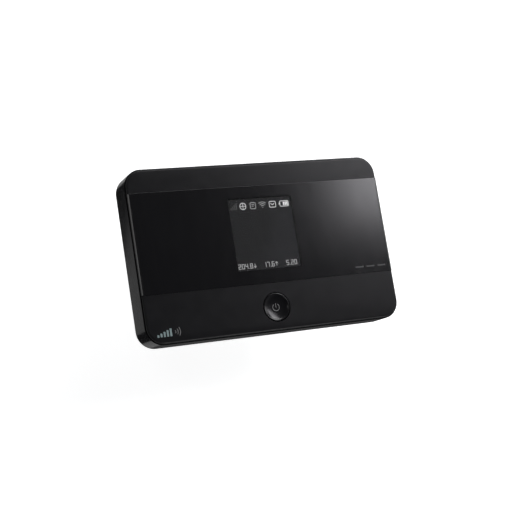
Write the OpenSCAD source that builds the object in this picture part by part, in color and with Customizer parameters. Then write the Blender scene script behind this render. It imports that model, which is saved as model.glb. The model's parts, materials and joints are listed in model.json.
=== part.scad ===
// Pocket 4G hotspot, lying on its back with its screen facing up.
// X runs along the width, Y towards the top edge of the face and Z out of the face.
// The origin is on the surface it lies on, under the middle of the case.

/* [Case] */
// Overall width of the case
body_w = 106; // [105:0.5:108]
// Overall height of the case
body_h = 66; // [65.5:0.5:68]
// Overall thickness of the case
body_d = 16; // [16:0.1:17]
// Radius of the case corners, seen from the front
corner_r = 7; // [6.5:0.1:8]
// Radius of the rounded edge round the back
back_edge_r = 4.5; // [4:0.1:5]
// Thickness of the mid frame's side wall
wall_t = 1.3; // [1.2:0.05:1.4]
// Thickness of the rear cover
cover_t = 1.1; // [1:0.05:1.2]
// Height at which the rear cover meets the mid frame
parting_z = 3.2; // [3:0.1:3.5]

/* [Face] */
// Depth of the reveal between the mid frame and the front cover
reveal = 0.35; // [0.25:0.05:0.5]
// How far the front cover's edge is set in from the side wall
cover_inset = 0.45; // [0.3:0.05:0.6]
// Radius of the front cover's outer edge
cover_edge_r = 0.8; // [0.4:0.1:0.8]
// Top edge of the gloss panel, above the middle of the face
panel_top = 23.85; // [22:0.05:24]
// Bottom edge of the gloss panel, below the middle of the face
panel_bottom = 14.4; // [14:0.05:15]
// Width of the bevel at each end of the gloss panel
panel_bevel = 0.8; // [0.3:0.1:1]

/* [Screen] */
// Width of the lit part of the screen
screen_w = 26.4; // [25:0.1:27]
// Height of the lit part of the screen
screen_h = 27.8; // [26:0.1:28]
// Middle of the screen, above the middle of the face
screen_y = 5; // [4.5:0.1:5.5]

/* [Buttons] */
// Distance of the power button below the middle of the face
power_drop = 23.8; // [23:0.1:24]
// Diameter of the power button
power_d = 10.9; // [10:0.1:11]
// Depth of the dish in the power button
dish_depth = 0.8; // [0.4:0.1:1]
// How far the buttons travel
button_travel = 0.3; // [0.2:0.05:0.3]
// Length of the menu key on the side
menu_l = 12; // [10:0.5:12]

/* [Battery] */
// Width of the battery
battery_w = 62; // [58:0.5:62]
// Height of the battery
battery_h = 50; // [46:0.5:50]
// Thickness of the battery
battery_t = 5.6; // [5:0.1:5.6]

/* [Hidden] */
$fn = 64;
eps = 0.5;              // extra length of a cutter past the face that it cuts
fit_gap = 0.1;          // gap between parts that meet
slide_gap = 0.25;       // gap round parts that slide past each other

// Inside of the side wall
inner_w = body_w - 2 * wall_t;
inner_h = body_h - 2 * wall_t;
inner_r = corner_r - wall_t;

// Heights, from the back of the case to its face
deck_z = 7.6;
deck_t = 1;
deck_top = deck_z + deck_t;
card_deck_z = 8.7;      // the deck steps up over the two cards
card_deck_top = 9.25;
card_deck_right = 49.9;
board_z = 9.4;
board_t = 0.8;
board_top = board_z + board_t;
shield_h = 1.7;
plate_z = body_d - 2.1;                 // underside of the front cover's plate
cap_z = body_d - 0.95;                  // where the front cover widens over the side wall
strip_top = body_d - 0.1;               // the matt strips lie just below the gloss panel
frame_top = cap_z - reveal;
adhesive_t = 0.15;
panel_z = cap_z + adhesive_t;

// Front cover
cap_w = body_w - 2 * cover_inset;
cap_h = body_h - 2 * cover_inset;
cap_r = corner_r - cover_inset;
plate_w = inner_w - 0.6;
plate_h = inner_h - 0.6;
plate_r = inner_r - 0.3;
skirt_h = 1.3;
skirt_t = 1;
channel_top = panel_top + 0.05;
channel_bottom = panel_bottom + 0.05;
panel_w = cap_w + 0.3;                  // the panel stands just past the matt strips

// Display stack, hung from the front cover's plate
lcd_w = 30.4;
lcd_h = 32.6;
lcd_y = screen_y - 0.3;
lcd_t = 1;
lcd_z = cap_z - 0.1 - lcd_t;
backlight_t = 1;
backlight_z = lcd_z - 0.05 - backlight_t;
display_play = 0.4;
holder_wall = 1.4;
holder_floor = 0.6;
holder_z = backlight_z - 0.1 - holder_floor;
flex_w = 11;
flex_t = 0.15;
flex_r = 1.05;                          // radius of the flex cable's turn, at its middle
flex_z = holder_z - 0.5;                // height of the flex cable's lower run
lcd_foot = lcd_y - lcd_h / 2;           // bottom edge of the display
flex_bend_y = lcd_foot - 2.6;

// Power button
power_pos = [0, -power_drop];
power_hole_r = power_d / 2 + slide_gap;
power_flange_r = power_d / 2 + 0.75;
dish_r = power_d / 2 - 0.45;
dish_sphere_r = (dish_r * dish_r + dish_depth * dish_depth) / (2 * dish_depth);
power_top = strip_top - 0.1;
power_flange_top = plate_z - 0.15;
switch_h = 1.8;

// Menu key in the right side wall
menu_y = 6;
menu_z = 11;
menu_h = 3.2;

// Battery, against the left of the case
battery_x = -inner_w / 2 + 2.2 + battery_w / 2;
battery_z = cover_t + 0.3;
battery_right = battery_x + battery_w / 2;
ridge_t = 1;
ridge_gap = 0.4;
ridge_z = cover_t + 0.5;
contact_y = 18;
contact_span = 11;

// Cards, right of the battery
card_l = 15;
card_out_y = -8.8;                      // where the cards' outer ends lie
sim_w = 12;
sim_t = 0.76;
sim_x = 26.3;
sim_z = 7.7;
sd_w = 11;
sd_t = 1;
sd_x = 42.15;
sd_z = 7.6;
reader_l = 15.4;
reader_y = -25.2;
reader_z = 6.9;
reader_top = board_z - 0.05;
card_travel_y = 11.5;                   // the cards' pocket reaches this far up

// USB port in the bottom side wall
usb_x = 2;
usb_w = 7.6;
usb_h = 2.6;
usb_l = 5.5;
usb_z = board_z - 0.05 - usb_h / 2;
usb_mouth_y = -body_h / 2 + 0.35;

// Fasteners
boss_x = body_w / 2 - 4.7;
boss_y = body_h / 2 - 4.7;
boss_spots = [for (sx = [-1, 1], sy = [-1, 1]) [sx * boss_x, sy * boss_y]];
pillar_r = 2.6;
pillar_z = 5;
screw_head_z = 5.3;
screw_head_h = 1.3;
screw_head_r = 1.8;
screw_r = 0.95;
board_screw_spots = [[-42, 24], [-42, -24], [30, 24], [12, -28]];
board_screw_r = 0.8;
reset_pos = [44, 18];

// ---------- shared shapes ----------

// Box between two corners
module block(low, high) {
    translate(low) cube(high - low);
}

// Rounded rectangle about the origin
module rounded_rect(w, h, r) {
    square([w - 2 * r, h], center = true);
    square([w, h - 2 * r], center = true);
    for (sx = [-1, 1], sy = [-1, 1])
        translate([sx * (w / 2 - r), sy * (h / 2 - r)]) circle(r);
}

// Upright slab with rounded corners
module slab(w, h, r, low, high) {
    translate([0, 0, low]) linear_extrude(high - low) rounded_rect(w, h, r);
}

// Section of a slab, across its full width, with its two lower edges rounded
module soft_section(w, edge, top) {
    intersection() {
        union() {
            translate([-w / 2, edge]) square([w, top]);
            translate([-w / 2 + edge, 0]) square([w - 2 * edge, top]);
            for (s = [-1, 1]) translate([s * (w / 2 - edge), edge]) circle(edge);
        }
        translate([-w / 2, 0]) square([w, top]);
    }
}

// Slab from height 0 to top with rounded corners, and a rounded edge round its underside
module soft_slab(w, h, r, edge, top) {
    rotate([90, 0, 90]) translate([0, 0, r - w / 2]) linear_extrude(w - 2 * r) soft_section(h, edge, top);
    rotate([90, 0, 0]) translate([0, 0, r - h / 2]) linear_extrude(h - 2 * r) soft_section(w, edge, top);
    for (turn = [0 : 3]) {
        sx = turn == 0 || turn == 3 ? 1 : -1;
        sy = turn < 2 ? 1 : -1;
        translate([sx * (w / 2 - r), sy * (h / 2 - r), 0]) rotate(90 * turn) rotate_extrude(angle = 90)
            intersection() {
                soft_section(2 * r, edge, top);
                square([r, top]);
            }
    }
}

// Outer shape of the case, up to a given height
module case_outline(top) {
    soft_slab(body_w, body_h, corner_r, back_edge_r, top);
}

// Open can with thin walls, such as a shield over chips
module shield_can(low, high, t) {
    difference() {
        block(low, high);
        block([low[0] + t, low[1] + t, low[2] - eps], [high[0] - t, high[1] - t, high[2] - t]);
    }
}

// Pill-shaped bar along X, centred on Y and Z
module side_pill(l, h, x_low, x_high, y, z) {
    translate([x_low, y, z]) rotate([90, 0, 90]) linear_extrude(x_high - x_low) {
        square([l - h, h], center = true);
        for (s = [-1, 1]) translate([s * (l - h) / 2, 0]) circle(h / 2);
    }
}

// ---------- case ----------

module cover_tongue(x, y, along_x) {
    tongue_w = 8;
    tongue_t = 1.1;
    size = along_x ? [tongue_w, tongue_t] : [tongue_t, tongue_w];
    translate([x, y, cover_t + 0.3]) linear_extrude(4.2) square(size, center = true);
}

module rear_cover() {
    edge_x = inner_w / 2 - slide_gap - 0.55;
    edge_y = inner_h / 2 - slide_gap - 0.55;
    color("#1b1b1e") {
        difference() {
            intersection() {
                case_outline(parting_z + 2);
                translate([-body_w, -body_h, -eps]) cube([2 * body_w, 2 * body_h, parting_z + eps]);
            }
            translate([0, 0, cover_t]) soft_slab(body_w - 2 * cover_t, body_h - 2 * cover_t,
                corner_r - cover_t, back_edge_r - cover_t, parting_z + 2);
        }
        for (x = [-30, 0, 30]) cover_tongue(x, edge_y, true);
        for (x = [-25, 25]) cover_tongue(x, -edge_y, true);
        for (s = [-1, 1], y = [-12, 12]) cover_tongue(s * edge_x, y, false);
    }
}

module mid_frame_walls() {
    difference() {
        case_outline(frame_top);
        slab(inner_w, inner_h, inner_r, -eps, frame_top + eps);
        translate([-body_w, -body_h, -eps]) cube([2 * body_w, 2 * body_h, parting_z + fit_gap + eps]);
    }
}

module battery_ridges() {
    left = -boss_x + pillar_r + 0.7;
    right = battery_right + ridge_gap;
    y = battery_h / 2 + ridge_gap;
    for (s = [-1, 1])
        translate([left, s * (y + ridge_t / 2) - ridge_t / 2, ridge_z])
            cube([right + ridge_t - left, ridge_t, deck_z + 0.2 - ridge_z]);
    block([right, -y - ridge_t, ridge_z], [right + ridge_t, contact_y - contact_span / 2 - 0.5, deck_z + 0.2]);
    block([right, contact_y + contact_span / 2 + 0.5, ridge_z], [right + ridge_t, y + ridge_t, deck_z + 0.2]);
    for (s = [-1, 1])
        translate([-inner_w / 2 - 0.1, s * 3 - 0.5, ridge_z + 3]) cube([1.9, 1, deck_z - ridge_z - 2.8]);
}

module deck() {
    slab(inner_w + 0.2, inner_h + 0.2, inner_r, deck_z, deck_top);
    block([17, reader_y - 0.8, deck_top - 0.2], [card_deck_right, card_travel_y + 0.5, card_deck_top]);
}

module mid_frame() {
    color("#202023") difference() {
        union() {
            mid_frame_walls();
            deck();
            battery_ridges();
            for (p = boss_spots) translate([p[0], p[1], pillar_z]) cylinder(r = pillar_r, h = deck_top - pillar_z);
            for (p = board_screw_spots) translate([p[0], p[1], deck_top - 0.2])
                cylinder(r = 2.2, h = board_z - deck_top + 0.2);
        }
        for (p = boss_spots) translate([p[0], p[1], 0]) {
            translate([0, 0, pillar_z - eps]) cylinder(r = 2, h = screw_head_z + screw_head_h - pillar_z + eps);
            cylinder(r = 1.1, h = deck_top + eps);
        }
        for (p = board_screw_spots) translate([p[0], p[1], deck_z - eps]) cylinder(r = board_screw_r + 0.05, h = 3);
        // pocket under the raised deck, where the cards slide, and the readers' openings through it
        block([18.3, reader_y - 0.3, deck_z - eps], [49.2, card_travel_y, card_deck_z]);
        block([18.3, reader_y - 0.3, deck_z], [34.3, reader_y + reader_l + 0.3, card_deck_top + eps]);
        block([35.1, reader_y - 0.3, deck_z], [49.2, reader_y + reader_l + 0.3, card_deck_top + eps]);
        // battery connector, reset pinhole and USB port
        block([battery_right + ridge_gap + ridge_t, contact_y - contact_span / 2 - 0.3, deck_z - eps],
            [battery_right + 5.9, contact_y + contact_span / 2 + 0.3, deck_top + eps]);
        translate([reset_pos[0], reset_pos[1], deck_z - eps]) cylinder(r = 0.9, h = deck_t + 2 * eps);
        block([usb_x - usb_w / 2 - 0.5, -inner_h / 2 - 0.1, deck_z - eps],
            [usb_x + usb_w / 2 + 0.5, usb_mouth_y + usb_l + 0.4, deck_top + eps]);
        translate([usb_x, -inner_h / 2 + 0.3, usb_z]) rotate([90, 0, 0]) linear_extrude(wall_t + 1)
            rounded_rect(usb_w + 1, usb_h + 0.8, 0.9);
        // menu key's slot
        side_pill(menu_l + 0.4, menu_h + 0.4, inner_w / 2 - eps, body_w / 2 + eps, menu_y, menu_z);
        // thumbnail notch for lifting the rear cover
        translate([30, body_h / 2 + 0.4, parting_z]) rotate([0, 90, 0]) cylinder(r = 1.2, h = 10, center = true);
    }
}

module front_cover() {
    color("#2e2e31") difference() {
        union() {
            slab(plate_w, plate_h, plate_r, plate_z, cap_z);
            difference() {
                slab(plate_w, plate_h, plate_r, plate_z - skirt_h, plate_z + 0.2);
                slab(plate_w - 2 * skirt_t, plate_h - 2 * skirt_t, plate_r - skirt_t,
                    plate_z - skirt_h - eps, plate_z + 0.3);
                block([plate_w / 2 - 2 * skirt_t, menu_y - 9, plate_z - skirt_h - eps],
                    [plate_w / 2 + eps, menu_y + 9, plate_z - 0.1]);
            }
            difference() {
                translate([0, 0, strip_top]) mirror([0, 0, 1])
                    soft_slab(cap_w, cap_h, cap_r, cover_edge_r, strip_top - cap_z);
                block([-body_w, -channel_bottom, cap_z], [body_w, channel_top, body_d + eps]);
            }
            for (p = boss_spots) translate([p[0], p[1], deck_top + fit_gap])
                cylinder(r = 2.3, h = plate_z - deck_top);
        }
        translate([power_pos[0], power_pos[1], plate_z - eps]) cylinder(r = power_hole_r, h = 4);
        block([-lcd_w / 2 - display_play, lcd_foot - display_play, plate_z - eps],
            [lcd_w / 2 + display_play, lcd_foot + lcd_h + display_play, body_d]);
        for (p = boss_spots) translate([p[0], p[1], deck_top]) cylinder(r = screw_r + 0.05, h = plate_z - deck_top);
    }
}

module front_panel() {
    bevel_drop = 0.35;
    edge = panel_w / 2;
    color("#0b0b0d") translate([0, panel_top, 0]) rotate([90, 0, 0]) linear_extrude(panel_top + panel_bottom)
        polygon([
            [-edge, panel_z], [edge, panel_z], [edge, body_d - bevel_drop],
            [edge - panel_bevel, body_d], [panel_bevel - edge, body_d], [-edge, body_d - bevel_drop],
        ]);
}

module panel_adhesive() {
    margin = 1.2;
    color("#3a3a3c") difference() {
        block([-plate_w / 2 + margin, margin - panel_bottom, cap_z],
            [plate_w / 2 - margin, panel_top - margin, panel_z]);
        block([-lcd_w / 2 - 0.8, lcd_foot - 0.8, cap_z - eps], [lcd_w / 2 + 0.8, lcd_foot + lcd_h + 0.8, body_d]);
    }
}

// ---------- display ----------

module display_lcd() {
    color("#2b2f33") block([-lcd_w / 2, lcd_foot, lcd_z], [lcd_w / 2, lcd_foot + lcd_h, lcd_z + lcd_t]);
}

module display_backlight() {
    color("#e6e6e0") block([-lcd_w / 2, lcd_foot, backlight_z],
        [lcd_w / 2, lcd_foot + lcd_h, backlight_z + backlight_t]);
}

module display_frame() {
    side = lcd_w / 2 + display_play;
    color("#26262a") difference() {
        block([-side - holder_wall, lcd_foot - display_play - holder_wall, holder_z],
            [side + holder_wall, lcd_foot + lcd_h + display_play + holder_wall, plate_z - 0.05]);
        block([-side, lcd_foot - display_play, holder_z + holder_floor],
            [side, lcd_foot + lcd_h + display_play, plate_z + eps]);
        block([-flex_w / 2 - 0.5, lcd_foot - 4, holder_z + holder_floor], [flex_w / 2 + 0.5, lcd_foot, plate_z + eps]);
    }
}

module display_gasket() {
    color("#101012") difference() {
        block([-lcd_w / 2, lcd_foot, lcd_z + lcd_t], [lcd_w / 2, lcd_foot + lcd_h, panel_z]);
        block([-screen_w / 2 - 0.6, screen_y - screen_h / 2 - 0.6, lcd_z], [screen_w / 2 + 0.6,
            screen_y + screen_h / 2 + 0.6, body_d]);
    }
}

// The cable leaves the display's foot, turns under the holder and runs to its connector
module display_flex() {
    upper = flex_z + 2 * flex_r;
    color("#b8742a") translate([-flex_w / 2, 0, 0]) rotate([90, 0, 90]) linear_extrude(flex_w) {
        translate([flex_bend_y, upper - flex_t / 2]) square([lcd_foot - flex_bend_y - 0.05, flex_t]);
        translate([flex_bend_y, flex_z - flex_t / 2]) square([7.5, flex_t]);
        difference() {
            translate([flex_bend_y, flex_z + flex_r]) circle(flex_r + flex_t / 2);
            translate([flex_bend_y, flex_z + flex_r]) circle(flex_r - flex_t / 2);
            translate([flex_bend_y, flex_z - 1]) square([4, 5]);
        }
    }
}

module display_connector() {
    color("#d9d4c4") block([-flex_w / 2 - 1, flex_bend_y + 3.6, board_top],
        [flex_w / 2 + 1, flex_bend_y + 7, flex_z - flex_t / 2]);
}

// ---------- buttons ----------

module power_button() {
    flange_low = power_flange_top - 1;
    foot_low = board_top + switch_h + button_travel + 0.05;
    color("#29292c") translate([power_pos[0], power_pos[1], 0]) rotate_extrude() difference() {
        union() {
            translate([0, flange_low]) square([power_flange_r, 1]);
            translate([0, flange_low]) square([power_d / 2, power_top - flange_low]);
            translate([0, foot_low]) square([1.5, flange_low - foot_low + 0.1]);
        }
        translate([0, power_top - dish_depth + dish_sphere_r]) circle(dish_sphere_r, $fn = 200);
        translate([-20, 0]) square([20, 60]);
    }
}

module tact_switch(size, h, plunger_r) {
    block([-size / 2, -size / 2, 0], [size / 2, size / 2, h * 0.7]);
    cylinder(r = plunger_r, h = h);
}

module power_switch() {
    color("#c9c9c4") translate([power_pos[0], power_pos[1], board_top]) tact_switch(4.5, switch_h, 1.2);
}

module menu_button() {
    flange_out = inner_w / 2 - 0.15;
    color("#29292c") {
        side_pill(menu_l, menu_h, flange_out - 0.4, body_w / 2 - 0.05, menu_y, menu_z);
        block([flange_out - 0.95, menu_y - menu_l / 2 - 1.5, menu_z - menu_h / 2 - 0.6],
            [flange_out, menu_y + menu_l / 2 + 1.5, menu_z + menu_h / 2 + 0.6]);
    }
}

module menu_switch() {
    tip = inner_w / 2 - 1.1 - button_travel - 0.1;
    color("#c9c9c4") {
        block([tip - 3.6, menu_y - 2.6, board_top], [tip - 0.7, menu_y + 2.6, board_top + 1.9]);
        translate([tip - 1, menu_y, board_top + 0.9]) rotate([0, 90, 0]) cylinder(r = 0.6, h = 1);
    }
}

module reset_button() {
    color("#e8e6df") translate([reset_pos[0], reset_pos[1], deck_top - 0.4]) cylinder(r = 0.6, h = 0.8);
}

module reset_switch() {
    color("#c9c9c4") translate([reset_pos[0], reset_pos[1], 0]) difference() {
        block([-1.6, -1.6, deck_top + 0.15], [1.6, 1.6, board_z - 0.02]);
        translate([0, 0, deck_top]) cylinder(r = 0.68, h = 0.62);
    }
}

// ---------- main board ----------

module main_board() {
    board_w = inner_w - 4.4;
    board_h = inner_h - 4.4;
    color("#123d2a") difference() {
        slab(board_w, board_h, 1, board_z, board_top);
        for (p = boss_spots) translate([p[0], p[1], board_z - eps]) cylinder(r = 3, h = board_t + 2 * eps);
        for (p = board_screw_spots) translate([p[0], p[1], board_z - eps])
            cylinder(r = board_screw_r + 0.1, h = board_t + 2 * eps);
    }
}

// Middle, size and height of each packaged chip on the board
chips = [
    [[-31, 5], [13, 13], 1.2], [[-31, -18], [7, 7], 1], [[-40, 12], [4, 4], 0.9],
    [[33, 14], [8, 8], 1], [[-14, -20], [9, 6], 0.9], [[14, -20], [5, 5], 0.9], [[38, -10], [10, 8], 1],
];

module board_chips() {
    color("#17171a") for (chip = chips)
        translate([chip[0][0] - chip[1][0] / 2, chip[0][1] - chip[1][1] / 2, board_top])
            cube([chip[1][0], chip[1][1], chip[2]]);
}

module board_capacitors() {
    color("#b49a74") {
        for (i = [0 : 7]) translate([22 + 2.4 * i, -2, board_top]) cube([1.2, 2, 0.9]);
        for (i = [0 : 5]) translate([-22 + 2.6 * i, -27, board_top]) cube([1.6, 0.9, 0.8]);
        for (i = [0 : 4]) translate([20, -26 + 3 * i, board_top]) cube([2.4, 1.4, 1.1]);
    }
}

module baseband_shield() {
    color("#b9babc") shield_can([-44, -6, board_top], [-18, 16, board_top + shield_h], 0.2);
}

module rf_shield() {
    color("#b9babc") shield_can([-39, -26, board_top], [-22, -9, board_top + shield_h], 0.2);
}

module wifi_shield() {
    color("#b9babc") shield_can([24, 4, board_top], [42, 21, board_top + shield_h], 0.2);
}

module thermal_pad() {
    color("#8fa3b5") block([-41, -3, board_top + shield_h + 0.02], [-21, 13, plate_z - 0.02]);
}

// ---------- ports and cards ----------

// Section of the USB shell: a bar whose two lower corners are cut off
module usb_section(w, h, cut) {
    polygon([
        [-w / 2, h / 2], [w / 2, h / 2], [w / 2, cut - h / 2], [w / 2 - cut, -h / 2],
        [cut - w / 2, -h / 2], [-w / 2, cut - h / 2],
    ]);
}

module usb_shell() {
    shell_t = 0.3;
    color("#c8c9cb") translate([usb_x, usb_mouth_y, usb_z]) rotate([-90, 0, 0]) mirror([0, 1, 0]) difference() {
        linear_extrude(usb_l) usb_section(usb_w, usb_h, 0.8);
        translate([0, 0, -eps]) linear_extrude(usb_l + eps - shell_t)
            usb_section(usb_w - 2 * shell_t, usb_h - 2 * shell_t, 0.65);
    }
}

module usb_insulator() {
    back = usb_mouth_y + usb_l - 0.35;
    color("#111113") translate([usb_x, 0, usb_z]) {
        block([-3.1, back - 1.2, -0.55], [3.1, back, 0.9]);
        block([-1.9, back - 4, 0.15], [1.9, back - 1, 0.75]);
    }
}

// Stamped cage with a slot that is open at its upper end
module card_reader(x, w, card_w, card_z, card_t) {
    difference() {
        block([x - w / 2, reader_y, reader_z], [x + w / 2, reader_y + reader_l, reader_top]);
        block([x - card_w / 2 - 0.2, card_out_y - card_l - 0.2, card_z - 0.2],
            [x + card_w / 2 + 0.2, card_out_y + eps, card_z + card_t + 0.24]);
        block([x - card_w / 2 + 2, reader_y + 4, reader_z - eps], [x + card_w / 2 - 2, reader_y + reader_l - 3, card_z]);
    }
}

module card_contacts(x, count, pitch, y, low) {
    for (i = [0 : count - 1])
        translate([x + (i - (count - 1) / 2) * pitch - 0.35, y, low]) cube([0.7, 5, 0.16]);
}

module sim_reader() {
    color("#a9aaad") card_reader(sim_x, 15.4, sim_w, sim_z, sim_t);
}

module sim_contacts() {
    color("#c9a24a") card_contacts(sim_x, 3, 2.54, -20, sim_z + sim_t + 0.05);
}

// The card has one corner cut off, towards the reader
module sim_card() {
    corner = 2.5;
    low = card_out_y - card_l;
    color("#e9e9ea") translate([sim_x, 0, sim_z]) linear_extrude(sim_t) polygon([
        [-sim_w / 2, card_out_y], [sim_w / 2, card_out_y], [sim_w / 2, low + corner],
        [sim_w / 2 - corner, low], [-sim_w / 2, low],
    ]);
}

module sd_reader() {
    color("#a9aaad") card_reader(sd_x, 13.5, sd_w, sd_z, sd_t - 0.1);
}

module sd_contacts() {
    color("#c9a24a") card_contacts(sd_x, 8, 1.1, -22.5, sd_z + sd_t - 0.02);
}

module sd_card() {
    low = card_out_y - card_l;
    color("#1c1c1f") translate([sd_x, 0, sd_z]) {
        linear_extrude(sd_t - 0.3) polygon([
            [-sd_w / 2, card_out_y], [sd_w / 2, card_out_y], [sd_w / 2, low + 6], [sd_w / 2 - 1.3, low + 4.7],
            [sd_w / 2 - 1.3, low], [-sd_w / 2, low],
        ]);
        block([-sd_w / 2, card_out_y - 1.2, 0], [sd_w / 2, card_out_y, sd_t]);
    }
}

// ---------- battery ----------

module battery() {
    color("#1d1f22") translate([battery_x, 0, 0])
        slab(battery_w, battery_h, 2, battery_z, battery_z + battery_t);
}

module battery_label() {
    color("#d6d7d4") translate([battery_x, 0, 0])
        slab(battery_w - 6, battery_h - 6, 1, battery_z - 0.15, battery_z);
}

module battery_terminals() {
    color("#c9a24a") for (i = [-1.5 : 1.5])
        translate([battery_right, contact_y + i * 2.6 - 0.9, battery_z + 1.8]) cube([0.1, 1.8, 2.6]);
}

module battery_connector() {
    left = battery_right + ridge_gap + ridge_t + 0.05;
    color("#26262a") block([left, contact_y - contact_span / 2, battery_z + 1], [left + 4, contact_y + contact_span / 2,
        board_z - 0.02]);
}

module battery_springs() {
    left = battery_right + 0.25;
    right = battery_right + ridge_gap + ridge_t + 0.05;
    color("#c9a24a") for (i = [-1.5 : 1.5])
        translate([left, contact_y + i * 2.6 - 0.4, battery_z + 2.4]) cube([right - left, 0.8, 1.2]);
}

module bay_label() {
    color("#e4e4e0") translate([battery_x, 2, deck_z - 0.15]) linear_extrude(0.15) rounded_rect(44, 26, 1);
}

// ---------- antennas ----------

// Strip of plastic that stands on the deck, from low to high
module antenna_carrier(low, high) {
    color("#3b3b3f") block(low, high);
}

// Meandering foil: a band along the length with fingers that alternate above and below it
module antenna_foil(l, h, count) {
    pitch = l / count;
    color("#c07a3a") linear_extrude(0.12) {
        translate([-l / 2, -0.35]) square([l, 0.7]);
        for (i = [0 : count - 1])
            translate([-l / 2 + (i + 0.25) * pitch, i % 2 == 0 ? -0.35 : 0.35 - h / 2]) square([pitch / 2, h / 2]);
    }
}

carrier_low = deck_top + 0.2;
carrier_high = plate_z - skirt_h - 0.2;
carrier_mid = (carrier_low + carrier_high) / 2;
carrier_h = carrier_high - carrier_low;
top_carrier_y = inner_h / 2 - 1.9;

module main_antenna_carrier() {
    antenna_carrier([-44, top_carrier_y, carrier_low], [-8, top_carrier_y + 1.5, carrier_high]);
}

module main_antenna_foil() {
    translate([-26, top_carrier_y, carrier_mid]) rotate([90, 0, 0]) antenna_foil(34, carrier_h - 0.4, 9);
}

module diversity_antenna_carrier() {
    antenna_carrier([8, top_carrier_y, carrier_low], [44, top_carrier_y + 1.5, carrier_high]);
}

module diversity_antenna_foil() {
    translate([26, top_carrier_y, carrier_mid]) rotate([90, 0, 0]) antenna_foil(30, carrier_h - 0.4, 6);
}

module wifi_antenna_carrier() {
    antenna_carrier([-inner_w / 2 + 0.3, -12, carrier_low], [-inner_w / 2 + 1.6, 12, carrier_high]);
}

module wifi_antenna_foil() {
    translate([-inner_w / 2 + 1.6, 0, carrier_mid]) rotate([90, 0, 90]) antenna_foil(22, carrier_h - 0.4, 5);
}

// ---------- fasteners ----------

// Pan-head screw pointing up, its head's underside at height 0
module screw(r, l, head_r, head_h) {
    difference() {
        union() {
            cylinder(r = r, h = l);
            translate([0, 0, -head_h]) cylinder(r = head_r, h = head_h + 0.001);
        }
        for (turn = [0, 90]) rotate(turn)
            translate([0, 0, -head_h]) cube([head_r * 1.1, head_r * 0.3, head_h], center = true);
    }
}

module housing_screws() {
    color("#77787b") for (p = boss_spots) translate([p[0], p[1], screw_head_z + screw_head_h])
        screw(screw_r, 6, screw_head_r, screw_head_h);
}

module board_screws() {
    color("#8b8c8f") for (p = board_screw_spots) translate([p[0], p[1], board_top]) mirror([0, 0, 1])
        screw(board_screw_r, 2.4, 1.4, 0.7);
}

// ---------- one node at a time, or all of them ----------

rear_cover();
mid_frame();
front_cover();
front_panel();
panel_adhesive();
display_lcd();
display_backlight();
display_frame();
display_gasket();
display_flex();
display_connector();
power_button();
power_switch();
menu_button();
menu_switch();
reset_button();
reset_switch();
main_board();
board_chips();
board_capacitors();
baseband_shield();
rf_shield();
wifi_shield();
thermal_pad();
usb_shell();
usb_insulator();
sim_reader();
sim_contacts();
sim_card();
sd_reader();
sd_contacts();
sd_card();
battery();
battery_label();
battery_terminals();
battery_connector();
battery_springs();
bay_label();
main_antenna_carrier();
main_antenna_foil();
diversity_antenna_carrier();
diversity_antenna_foil();
wifi_antenna_carrier();
wifi_antenna_foil();
housing_screws();
board_screws();
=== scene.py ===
import json
import math
import random

import bmesh
import bpy
from mathutils import Matrix, Vector


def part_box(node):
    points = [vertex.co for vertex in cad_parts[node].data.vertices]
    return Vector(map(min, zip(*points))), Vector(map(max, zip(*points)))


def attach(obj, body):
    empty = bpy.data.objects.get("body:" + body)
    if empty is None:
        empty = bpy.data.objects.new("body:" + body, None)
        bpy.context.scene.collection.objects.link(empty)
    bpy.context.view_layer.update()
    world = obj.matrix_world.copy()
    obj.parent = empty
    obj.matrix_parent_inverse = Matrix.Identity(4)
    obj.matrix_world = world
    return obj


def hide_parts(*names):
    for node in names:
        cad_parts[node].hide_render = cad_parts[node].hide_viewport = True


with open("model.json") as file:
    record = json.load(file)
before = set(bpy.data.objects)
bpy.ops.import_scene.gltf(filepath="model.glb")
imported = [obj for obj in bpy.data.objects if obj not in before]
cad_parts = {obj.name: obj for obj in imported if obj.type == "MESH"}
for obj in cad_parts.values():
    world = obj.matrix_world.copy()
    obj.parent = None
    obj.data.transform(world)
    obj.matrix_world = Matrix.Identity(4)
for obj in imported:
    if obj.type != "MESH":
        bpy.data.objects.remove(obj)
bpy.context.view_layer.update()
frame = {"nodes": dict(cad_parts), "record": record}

# Mobile hotspot on its back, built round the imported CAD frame. X runs along the width, Y towards the top
# edge of the face and Z out of the face. Pieces are built in millimetres, and MM turns those into the frame's
# metres. Every refined piece starts from its CAD node's own shape or box.
MM = 0.001
NODES = frame["nodes"]
SLOTS = {entry["node"]: entry["material_slot"] for entry in frame["record"]["subparts"]}
BODY_OF = {name: body for body, names in frame["record"]["behaviour"]["bodies"].items() for name in names}


def box_mm(node):
    """Lowest and highest corner of a CAD node, in millimetres."""
    low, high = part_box(node)
    return Vector(low) / MM, Vector(high) / MM


# ---------- camera, floor and light, in metres ----------

FLOOR_HEIGHT = -0.032
ORIGIN = (0, 0, 0)


def make_camera():
    """The camera looks down on the face from the left and below, rolled as a hand-held view is."""
    data = bpy.data.cameras.new("camera")
    data.sensor_width = 36
    data.lens = 82.0
    data.clip_start = 0.01
    camera = bpy.data.objects.new("camera", data)
    place = (-0.1870, -0.0684, 0.4146)
    right = Vector((0.9080, -0.1573, 0.3883))
    back = Vector((-0.4103, -0.1463, 0.9001)).normalized()
    right = (right - right.dot(back) * back).normalized()
    turn = Matrix((right, back.cross(right), back)).transposed()
    camera.matrix_world = Matrix.Translation(place) @ turn.to_4x4()
    bpy.context.scene.collection.objects.link(camera)
    bpy.context.scene.camera = camera


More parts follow.
